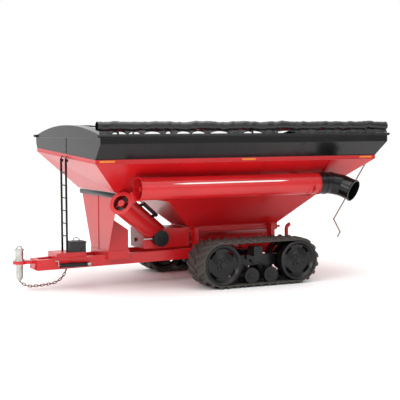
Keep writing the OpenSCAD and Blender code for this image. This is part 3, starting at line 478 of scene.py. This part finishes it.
class GRAINCART_OT_belts(bpy.types.Operator):
    """Makes both track belts: a carcass with swept tread lugs outside and guide lugs inside.
    Everything is laid out flat, as a way along the belt, a way across it and a rise off it, and then
    wrapped round the loop: two straight runs joined by half circles whose radius takes in the rise.
    A lug is a bar with sloping flanks whose distance along the belt grows with the power 1.15 of its
    distance from the middle, and which is a quarter wider at the edge"""
    bl_idname = "graincart.belts"
    bl_label = "Track belts"

    def execute(self, context):
        for side in ("near", "far"):
            self.belt(side, *span(side + "_belt"))
        return {"FINISHED"}

    def belt(self, side, low, high):
        """One belt in the box of its CAD node."""
        s = sizes()
        outer = (high[2] - low[2]) / 2
        run = (high[0] - low[0]) - 2 * outer
        radius = outer - s.lug_height
        half_w = (high[1] - low[1]) / 2
        length = 2 * run + 2 * math.pi * radius
        middle_point = (low + high) / 2

        def loop(along, across, rise):
            """Flat belt places wrapped round the loop."""
            along, across, rise = np.broadcast_arrays(np.mod(along, length), across, rise)
            end = math.pi * radius
            r = radius + rise
            rear_turn = math.pi / 2 - (along - run) / radius
            front_turn = -math.pi / 2 - (along - 2 * run - end) / radius
            stretch = [along < run, along < run + end, along < 2 * run + end]
            x = np.select(stretch, [along - run / 2, run / 2 + r * np.cos(rear_turn),
                                    run / 2 - (along - run - end)], r * np.cos(front_turn) - run / 2)
            z = np.select(stretch, [r, r * np.sin(rear_turn), -r], r * np.sin(front_turn))
            return middle_point + np.stack([x, across, z], -1)

        parts = [self.carcass(loop, length, half_w - 0.004, s.belt_carcass - 0.001)]
        pitch = length / s.lug_count
        for k in range(s.lug_count):
            parts.append(self.lug(loop, k * pitch, -1, half_w))
            parts.append(self.lug(loop, (k + 0.5) * pitch, 1, half_w))
            parts.append(self.guide(loop, k * pitch, s.belt_carcass - 0.001))
        belt = put(side + "_track_belt", parts, "dusty_track_rubber", side + "_track",
                   sharp=35)
        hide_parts(side + "_belt")

    def carcass(self, loop, length, half_w, thick):
        """The belt under its lugs, with chamfered edges."""
        side, edge, rows = 0.01, 0.008, 220
        across = np.array([-half_w, -half_w + side, 0, half_w - side, half_w])
        inside = np.array([edge - thick, -thick, -thick, -thick, edge - thick])
        outside = np.array([-edge, 0, 0, 0, -edge])
        along = np.linspace(0, length, rows, endpoint=False)
        points = loop(along[:, None], np.append(across, across[::-1]), np.append(inside, outside))
        return points, grid_faces(rows, 10, around=True, along=True)

    def lug(self, loop, start, way, half_w):
        """One tread lug, from the middle of the belt to its edge on one side."""
        s = sizes()
        inner, foot, rows = 0.012, -0.006, 8
        u = np.linspace(0, 1, rows)[:, None]
        # half widths and shares of the height over the bar's section
        section = np.array([(-0.042, foot), (-0.027, 0.9), (-0.02, 1.0), (0.02, 1.0), (0.027, 0.9),
                            (0.042, foot)])
        along = start + s.lug_sweep * u ** 1.15 + section[:, 0] * (1 + 0.25 * u)
        end_drop = np.where(u > 0.98, 0.75, 1.0)
        rise = section[:, 1] * (s.lug_height - 0.001) * end_drop
        return loop(along, way * (inner + (half_w - inner) * u), rise), capped(rows, 6)

    def guide(self, loop, start, depth):
        """One guide lug: a tapered block on the inside of the belt."""
        half = 0.05
        base = half * np.array([(-1, -1), (1, -1), (1, 1), (-1, 1)])
        rows = ((1.0, -depth + 0.004), (0.9, -depth - 0.04), (0.62, -depth - 0.068))
        points = [loop(start + base[:, 0] * share, base[:, 1] * share, rise) for share, rise in rows]
        return np.stack(points), capped(3, 4)


class GRAINCART_OT_hopper_trim(bpy.types.Operator):
    """Makes the extension's seam straps and rim lips, the hopper's ribs and weld beads, and the front sill"""
    bl_idname = "graincart.hopper_trim"
    bl_label = "Hopper trim"

    def execute(self, context):
        self.seams()
        self.ribs()
        # dark sill under the foot of the front flare
        sill = rounded_bar((KNEE_X + 0.012, -1.17, KNEE_Z - 0.125), (KNEE_X + 0.075, 1.17, KNEE_Z - 0.02),
                           0.01)
        put("front_sill", [sill], "black_cast_paint", "cart")
        return {"FINISHED"}

    def flare(self, sign, top, foot):
        """Unit direction down a sloping panel, and the normal on its outside, from two (y, z) points."""
        down = unit([0, foot[0] - top[0], foot[1] - top[1]])
        return down, np.array([0, sign * abs(down[2]), -abs(down[1])])

    def seams(self):
        """Straps with bolts over the extension's joints, and rolled edges along its rim, fold and foot."""
        width = sizes().seam_width
        thick, head, head_h, inset = 0.006, 0.018, 0.008, 0.004
        along_x = np.array([1.0, 0, 0])
        straps, bolts = [], []
        for sign, lip_y, lip_z in SIDES:
            top_y, fold_z = sign * HALF_W, RIM_Z - STRIP
            down, normal = self.flare(sign, (top_y, fold_z), (lip_y, lip_z))
            for x in (AXLE_X - 1.7, AXLE_X + 1.0):
                rim = np.array([x, top_y, RIM_Z - inset])
                fold = np.array([x, top_y, fold_z])
                foot = np.array([x, lip_y, lip_z + inset])
                straps.append(strap([rim, fold], width, thick, (0, sign, 0), along_x))
                straps.append(strap([fold, foot], width, thick, normal, along_x))
                for share in (0.12, 0.5, 0.88):
                    for aside in (-0.022, 0.022):
                        at = fold + (foot - fold) * share + normal * thick + along_x * aside
                        bolts += bolt(at, normal, head, head_h)
            # y, z, radius and how far each rolled edge stops short of the rear
            edges = ((top_y + sign * 0.002, RIM_Z - 0.006, 0.009, 0.005),
                     (top_y + sign * 0.001, fold_z, 0.006, 0.005),
                     (lip_y + sign * inset, lip_z + inset, 0.01, 0.13))
            for y, z, radius, short in edges:
                stops = (HOPPER_FRONT + 0.005, (HOPPER_FRONT + HOPPER_REAR) / 2, HOPPER_REAR - short)
                straps.append(tube([(x, y, z) for x in stops], radius, 10))
        # the front's own seam strap, and its two rolled edges
        (_, near_y, near_z), (_, far_y, far_z) = SIDES
        seam_y, front_thick = -0.02, 0.008
        foot_z = near_z + (far_z - near_z) * (seam_y - near_y) / (far_y - near_y)
        straps.append(strap([(HOPPER_FRONT, seam_y, RIM_Z - inset), (HOPPER_FRONT, seam_y, foot_z + 0.01)],
                            width * 1.2, front_thick, -along_x, (0, 1, 0)))
        for share in (0.15, 0.5, 0.85):
            at = (HOPPER_FRONT - front_thick, seam_y, RIM_Z + (foot_z - RIM_Z) * share)
            bolts += bolt(at, -along_x, head, head_h)
        x = HOPPER_FRONT - 0.002
        straps.append(tube([(x, near_y, near_z + 0.003), (x, far_y, far_z + 0.003)], 0.01, 10))
        straps.append(tube([(x, -HALF_W, RIM_Z - 0.006), (x, HALF_W, RIM_Z - 0.006)], 0.009, 10))
        put("extension_seams", straps + bolts, "black_gloss_enamel", "cart")

    def ribs(self):
        """Ribs on the flare, weld beads along the folds, and a bar along each side of the sump."""
        bead, foot_bead, seat = 0.009, 0.014, 0.004
        ribs = []
        for sign, lip_y, lip_z in SIDES:
            lip, knee = (lip_y, lip_z - LIP), (sign * KNEE_Y, KNEE_Z)
            down, normal = self.flare(sign, lip, knee)
            for x in (AXLE_X - 1.95, AXLE_X + 0.15, AXLE_X + 1.91):
                top, foot = np.array([x, *lip]) + down * 0.01, np.array([x, *knee]) - down * 0.02
                ribs.append(strap([top, foot], 0.05, 0.012, normal, (1, 0, 0)))
            y = lip_y + sign * seat
            ribs.append(tube([(HOPPER_FRONT + 0.03, y, lip[1]), (HOPPER_REAR - 0.16, y, lip[1])], bead, 8))
            y = sign * (FUNNEL_HALF_W + seat)
            ribs.append(tube([(x, y, FUNNEL_Z) for x in FUNNEL_ENDS], foot_bead, 8))
            y0, y1 = sorted((sign * (FUNNEL_HALF_W - 0.0003), sign * (FUNNEL_HALF_W + 0.06)))
            ribs.append(rounded_bar((FUNNEL_ENDS[0] - 0.06, y0, FUNNEL_Z - 0.115),
                                    (FUNNEL_ENDS[1] + 0.05, y1, FUNNEL_Z - 0.06), 0.008))
        (_, near_y, near_z), (_, far_y, far_z) = SIDES
        x = HOPPER_FRONT - 0.003
        ribs.append(tube([(x, near_y, near_z - LIP), (x, far_y, far_z - LIP)], bead, 8))
        put("hopper_ribs", ribs, "red_gloss_enamel", "cart")


class GRAINCART_OT_tube_trim(bpy.types.Operator):
    """Makes the folding tube's painted highlight, a white strip along its top, its flange bolts and band, the
    lower tube's mouth plate, and the spout's welds and lip"""
    bl_idname = "graincart.tube_trim"
    bl_label = "Tube trim"

    def execute(self, context):
        low, high = span("upper_auger_shaft")
        y, z = (low[1] + high[1]) / 2, (low[2] + high[2]) / 2
        # a white strip painted on as the folding tube's highlight
        self.paint_highlight(y, z)
        # bolts on the back of the folding tube's flange; the shaft starts 40 mm inside the mouth
        flange_back, bolt_r, count = low[0] - 0.04 + 0.0255, 0.262, 14
        bolts = []
        for angle in turn(count, math.pi / count):
            at = (flange_back, y + bolt_r * math.cos(angle), z + bolt_r * math.sin(angle))
            bolts += bolt(at, (1, 0, 0), 0.012, 0.009, washer=False)
        put("folding_flange_bolts", bolts, "zinc_plate", "folding_tube")
        band = [(-0.002, -0.03), (0.005, -0.03), (0.007, -0.027), (0.007, 0.027), (0.005, 0.03),
                (-0.002, 0.03)]
        put("tube_bands", [turned([(TUBE_R + r, h) for r, h in band], (AXLE_X + 1.3, y, z), (1, 0, 0), 72,
                                  ring=True)], "red_gloss_enamel", "folding_tube")
        self.mouth_plate()
        self.spout(y, z)
        return {"FINISHED"}

    def paint_highlight(self, y, z):
        """A painted highlight: a thin white patch on the tube's upper near side, pointed at both ends: its
        half angle is its half width over the tube's radius, cut down by straight lines near each end."""
        front, rear, rows, columns = AXLE_X - 2.25, AXLE_X + 0.7, 80, 5
        x = np.linspace(front, rear, rows)[:, None]
        u = (x - front) / (rear - front)
        taper = np.clip(np.minimum(u * 9, (1 - u) * 14), 0.12, 1)
        # the painted highlight lies where the lights glint on the tube, on its upper side towards the camera
        middle_angle = math.radians(180 - 24)
        angle = middle_angle + np.linspace(-1, 1, columns) * sizes().painted_highlight_width / 2 / TUBE_R * taper
        skins = []
        for r, a in ((TUBE_R + 0.0008, angle), (TUBE_R + 0.0001, angle[:, ::-1])):
            skins.append(np.stack([np.broadcast_to(x, a.shape), y + r * np.cos(a), z + r * np.sin(a)], -1))
        put("tube_painted_highlight", [(np.concatenate(skins, 1), capped(rows, 2 * columns))], "painted_highlight_film",
            "folding_tube")

    def mouth_plate(self):
        """A ring set into the mouth of the lower tube round its bearing, with a raised inner lip."""
        mouth = np.array([AXLE_X - 3.20296, -1.37961, 1.99661])
        inward = unit([0.686, 0.588, -0.43])
        inner, outer, front, back = 0.18, 0.241, 0.004, 0.012
        plate = [(inner, front), (outer, front), (outer, back), (inner, back)]
        lip = [(inner, 0.002), (0.192, -0.004), (0.198, 0.004), (inner, back)]
        rings = [turned(plate, mouth, inward, 72, ring=True),
                 turned(lip, mouth + inward * front, inward, 72, ring=True)]
        put("tube_mouth_plate", rings, "red_gloss_enamel", "cart")

    def spout(self, y, z):
        """Weld beads along the spout's two mitres, and a thick lip round its mouth."""
        bend, roll = math.radians(62), math.radians(25)
        side = np.array([0, -math.cos(roll), -math.sin(roll)])

        def heading(angle):
            """The tube's direction where it has bent through an angle."""
            return np.array([math.cos(angle), 0, 0]) + math.sin(angle) * side

        first = np.array([span("upper_tube")[1][0] + 0.29, y, z])
        second = first + 0.28 * heading(bend / 2)
        mouth = second + 0.33 * heading(bend)
        lip = [(-0.004, -0.035), (0.008, -0.035), (0.013, -0.029), (0.013, -0.006), (0.008, 0.002),
               (-0.012, 0.002), (-0.012, -0.0005), (-0.004, -0.0005)]
        parts = [turned([(COLLAR_R + r, h) for r, h in lip], mouth, heading(bend), 72, ring=True)]
        across = np.array([0, -side[2], side[1]])
        angle = turn(72)[:, None]
        for centre, before, after in ((first, 0.0, bend / 2), (second, bend / 2, bend)):
            # the tube's points that lie on the plane halfway between the two headings
            d, n = heading(before), heading((before + after) / 2)
            circle = np.cos(angle) * across + np.sin(angle) * np.cross(d, across)
            circle *= COLLAR_R + 0.001
            bead = centre + circle - d * ((circle @ n) / (d @ n))[:, None]
            parts.append(tube(bead, 0.007, 8, closed=True))
        put("spout_bands", parts, "black_gloss_enamel", "discharge_spout")


class GRAINCART_OT_fixings(bpy.types.Operator):
    """Makes the hitch pin's keeper, the wheels' hub plates, the rollers' caps and the lamp lenses"""
    bl_idname = "graincart.fixings"
    bl_label = "Fixings"

    def execute(self, context):
        self.keeper()
        for side, outward in (("near", -1), ("far", 1)):
            for end in ("front", "rear"):
                self.hub(f"{side}_{end}_wheel", outward)
                self.caps(f"{side}_{end}_roller")
        self.lenses()
        return {"FINISHED"}

    def keeper(self):
        """A bent wire beside the hitch pin: it bows out by half a sine while it runs down."""
        low, high = span("hitch_pin")
        u = np.linspace(0, 1, 40)
        x = (low[0] + high[0]) / 2 + 0.10 + 0.075 * np.sin(math.pi * u)
        path = np.stack([x, 0.02 * np.cos(2 * math.pi * u), high[2] - 0.2 - 0.2 * u], 1)
        put("hitch_keeper", [tube(path, 0.007, 10)], "zinc_plate", "cart")

    def bolt_ring(self, centre, face, radius, count, start, across, height):
        """Bolts in a ring on a face that looks along Y."""
        bolts = []
        for angle in turn(count, start):
            at = centre + radius * np.array([math.cos(angle), 0, math.sin(angle)])
            bolts += bolt(at, (0, face, 0), across, height, washer=False)
        return bolts

    def faces(self, name):
        """The middle of a turning piece's two faces, with the side that each looks to."""
        low, high = span(name)
        x, _, z = (low + high) / 2
        return ((-1, np.array([x, low[1], z])), (1, np.array([x, high[1], z])))

    def hub(self, name, outward):
        """A domed hub plate with eight bolts, set into each face of a wheel."""
        recess, bolt_seat = 0.032, 0.024
        plate = [(0.148, -0.0045), (0.15, 0.003), (0.146, 0.008), (0.09, 0.009), (0.078, 0.02),
                 (0.07, 0.022), (0.058, 0.022), (0.05, 0.016), (0.03, 0.018), (0.004, 0.019)]
        for face, at in self.faces(name):
            inward = np.array([0, -face, 0])
            parts = [turned(plate, at + inward * recess, -inward, 40)]
            parts += self.bolt_ring(at + inward * bolt_seat, face, 0.118, 8, math.pi / 8, 0.03, 0.016)
            end = "outer" if face == outward else "inner"
            put(f"{name}_hub_{end}", parts, "black_cast_paint", name)

    def caps(self, name):
        """A small cap with six bolts on each face of a roller."""
        cap = [(0.07, -0.001), (0.07, 0.006), (0.062, 0.01), (0.04, 0.011), (0.034, 0.018),
               (0.004, 0.019)]
        parts = []
        for face, at in self.faces(name):
            parts.append(turned(cap, at, (0, face, 0), 28))
            parts += self.bolt_ring(at + np.array([0, face * 0.009, 0]), face, 0.052, 6, 0, 0.014, 0.009)
        put(f"{name}_caps", parts, "black_cast_paint", name)

    def lenses(self):
        """Three round lenses on each end of the light bar, from the outside in."""
        low, high = span("light_bar")
        z = (low[2] + high[2]) / 2
        # finish, distance from the middle, radius, and how far the lens is set in
        lamps = (("red_lamp_lens", 0.78, 0.036, 0.0), ("amber_reflector", 0.64, 0.036, 0.0),
                 ("clear_lamp_lens", 0.5, 0.029, 0.002))
        for k, (finish_name, y, r, inset) in enumerate(lamps):
            dome = [(r, -0.001), (r, 0.003), (r * 0.9, 0.006), (r * 0.5, 0.009), (0.002, 0.01)]
            parts = [turned(dome, (high[0] - inset, side * y, z), (1, 0, 0), 28) for side in (-1, 1)]
            put(f"lamp_lenses_{k}", parts, finish_name, "cart")


class GRAINCART_OT_studio(bpy.types.Operator):
    """Sets up the floor, the lights and the camera"""
    bl_idname = "graincart.studio"
    bl_label = "Studio"

    def execute(self, context):
        context.scene.view_settings.view_transform = "Standard"
        self.floor(context.scene)
        self.air(context.scene)
        self.lights(context.scene)
        self.camera(context.scene)
        return {"FINISHED"}

    def floor(self, scene):
        """A wide level floor just under the belts."""
        reach, rows, drop = 60, 25, 0.0005
        x, y = np.meshgrid(*[np.linspace(-reach, reach, rows)] * 2, indexing="ij")
        points = np.stack([x, y, np.full_like(x, -drop)], -1).reshape(-1, 3)
        mesh = bpy.data.meshes.new("studio_floor")
        mesh.from_pydata(points.tolist(), [], [face[::-1] for face in grid_faces(rows, rows)])
        floor = bpy.data.objects.new("studio_floor", mesh)
        scene.collection.objects.link(floor)
        # painted studio floor: near white and dull, so that it takes soft shadows
        paint(floor, finish("white_studio_floor", colours().floor, "#F7F7F7", 0.0, 0.6, 0.05, 3000, 40,
                            0.02))

    def air(self, scene):
        """White air, full behind the camera and dimmer where the camera looks."""
        world = bpy.data.worlds.new("studio_air")
        scene.world = world
        world.use_nodes = True
        tree = world.node_tree
        place = add(tree, "ShaderNodeTexCoord").outputs["Generated"]
        toward = add(tree, "ShaderNodeVectorMath", {"operation": "DOT_PRODUCT"}, {1: (0.25, -0.97, 0.0)},
                     {0: place})
        level = add(tree, "ShaderNodeMapRange", None,
                    {"From Min": 0.1, "From Max": 0.9, "To Min": 1.0, "To Max": 0.4},
                    {"Value": toward.outputs["Value"]})
        background = tree.nodes["Background"]
        tree.links.new(level.outputs["Result"], background.inputs["Strength"])
        background.inputs["Color"].default_value = (1, 1, 1, 1)

    def lights(self, scene):
        """Three softboxes that look at the cart, and a wide soft light from overhead."""
        centre = Vector((0, 0, 1.6))
        softboxes = (("top_softbox", (0, -1.5, 13), 11, 700), ("front_softbox", (-14, -9, 8), 7, 700),
                     ("side_softbox", (6, -17, 9), 8, 300))
        for name, place, size, power in softboxes:
            light = bpy.data.lights.new(name, "AREA")
            light.energy = power
            light.size = size
            lamp = bpy.data.objects.new(name, light)
            lamp.location = place
            lamp.rotation_euler = (centre - Vector(place)).to_track_quat("-Z", "Y").to_euler()
            scene.collection.objects.link(lamp)
        sky = bpy.data.lights.new("overhead_silk", "SUN")
        sky.energy = 1.3
        sky.angle = math.radians(110)
        silk = bpy.data.objects.new("overhead_silk", sky)
        silk.rotation_euler = (math.radians(12), math.radians(-8), 0)
        scene.collection.objects.link(silk)

    def camera(self, scene):
        """The studio camera: it stands back from its target along its line of sight."""
        azimuth, elevation, roll = (math.radians(angle) for angle in (25.967, 3.899, -0.345))
        target, distance = np.array([AXLE_X - 0.592, 0, 1.889]), 24.804
        sight = np.array([math.sin(azimuth) * math.cos(elevation), math.cos(azimuth) * math.cos(elevation),
                          -math.sin(elevation)])
        level = np.array([math.cos(azimuth), -math.sin(azimuth), 0.0])
        upright = np.cross(level, sight)
        right = math.cos(roll) * level + math.sin(roll) * upright
        up = math.cos(roll) * upright - math.sin(roll) * level
        camera = bpy.data.cameras.new("studio_camera")
        camera.sensor_width = 36
        camera.lens = 91.665
        camera.clip_end = 300
        eye = bpy.data.objects.new("studio_camera", camera)
        columns = np.column_stack([right, up, -sight, target - distance * sight])
        eye.matrix_world = Matrix([*columns.tolist(), [0, 0, 0, 1]])
        scene.collection.objects.link(eye)
        scene.camera = eye


OPERATORS = (GRAINCART_OT_studio, GRAINCART_OT_finishes, GRAINCART_OT_tarp, GRAINCART_OT_belts,
             GRAINCART_OT_hopper_trim, GRAINCART_OT_tube_trim, GRAINCART_OT_fixings)


class GRAINCART_PT_panel(bpy.types.Panel):
    """Lists the grain cart's pieces and sizes"""
    bl_idname = "GRAINCART_PT_panel"
    bl_label = "Grain Cart"
    bl_space_type = "VIEW_3D"
    bl_region_type = "UI"
    bl_category = "Grain Cart"

    def draw(self, context):
        for operator in OPERATORS:
            self.layout.operator(operator.bl_idname)
        for group in (context.scene.grain_cart_sizes, context.scene.grain_cart_colours):
            for name in group.__annotations__:
                self.layout.prop(group, name)


CLASSES = (GrainCartSizes, GrainCartColours) + OPERATORS + (GRAINCART_PT_panel,)


def register():
    """Makes the add-on's classes and scene settings known."""
    for item in CLASSES:
        bpy.utils.register_class(item)
    bpy.types.Scene.grain_cart_sizes = bpy.props.PointerProperty(type=GrainCartSizes)
    bpy.types.Scene.grain_cart_colours = bpy.props.PointerProperty(type=GrainCartColours)


def unregister():
    """Takes them away again."""
    del bpy.types.Scene.grain_cart_sizes
    del bpy.types.Scene.grain_cart_colours
    for item in reversed(CLASSES):
        bpy.utils.unregister_class(item)


def main():
    """Builds the whole scene."""
    register()
    bpy.ops.graincart.studio()
    bpy.ops.graincart.finishes()
    bpy.ops.graincart.tarp()
    bpy.ops.graincart.belts()
    bpy.ops.graincart.hopper_trim()
    bpy.ops.graincart.tube_trim()
    bpy.ops.graincart.fixings()


if __name__ == "__main__":
    main()
